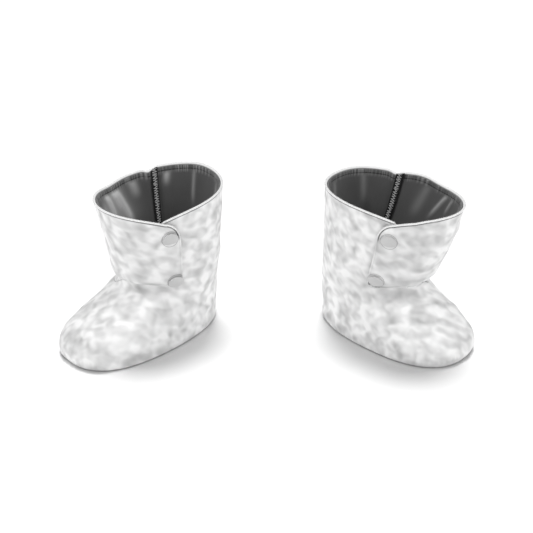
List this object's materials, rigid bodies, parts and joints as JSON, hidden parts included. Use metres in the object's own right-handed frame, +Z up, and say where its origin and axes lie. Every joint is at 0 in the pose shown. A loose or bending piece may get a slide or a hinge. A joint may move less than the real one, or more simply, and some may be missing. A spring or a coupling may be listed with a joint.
{
  "type": "pair of boot covers",
  "caption": "Pair of short plush boot covers with satin linings and flat soles, each closed at the side by a lapped flap and snaps.",
  "frame": {"origin": "middle of the pair's outline, at the level that the soles stand on", "axes": "+X across the pair from the left cover to the right one, +Y away from the closure sides, +Z up"},
  "size_m": [0.3474, 0.1286, 0.1316],
  "materials": {
    "plush": "white crushed plush with a short, clouded nap",
    "lining": "dark grey satin lining with a soft sheen",
    "overlock": "grey overlocked seam allowance",
    "snap": "moulded pale grey plastic"
  },
  "bodies": {
    "root": {"left_sole": "plush", "left_upper": "plush", "left_flap": "plush", "left_upper_lining": "lining", "left_flap_lining": "lining", "left_sole_lining": "lining", "left_seam_allowance": "overlock", "left_top_snap_cap": "snap", "left_top_snap_socket": "snap", "left_top_snap_back": "snap", "left_low_snap_cap": "snap", "left_low_snap_socket": "snap", "left_low_snap_back": "snap", "right_sole": "plush", "right_upper": "plush", "right_flap": "plush", "right_upper_lining": "lining", "right_flap_lining": "lining", "right_sole_lining": "lining", "right_seam_allowance": "overlock", "right_top_snap_cap": "snap", "right_top_snap_socket": "snap", "right_top_snap_back": "snap", "right_low_snap_cap": "snap", "right_low_snap_socket": "snap", "right_low_snap_back": "snap"}
  },
  "joints": []
}
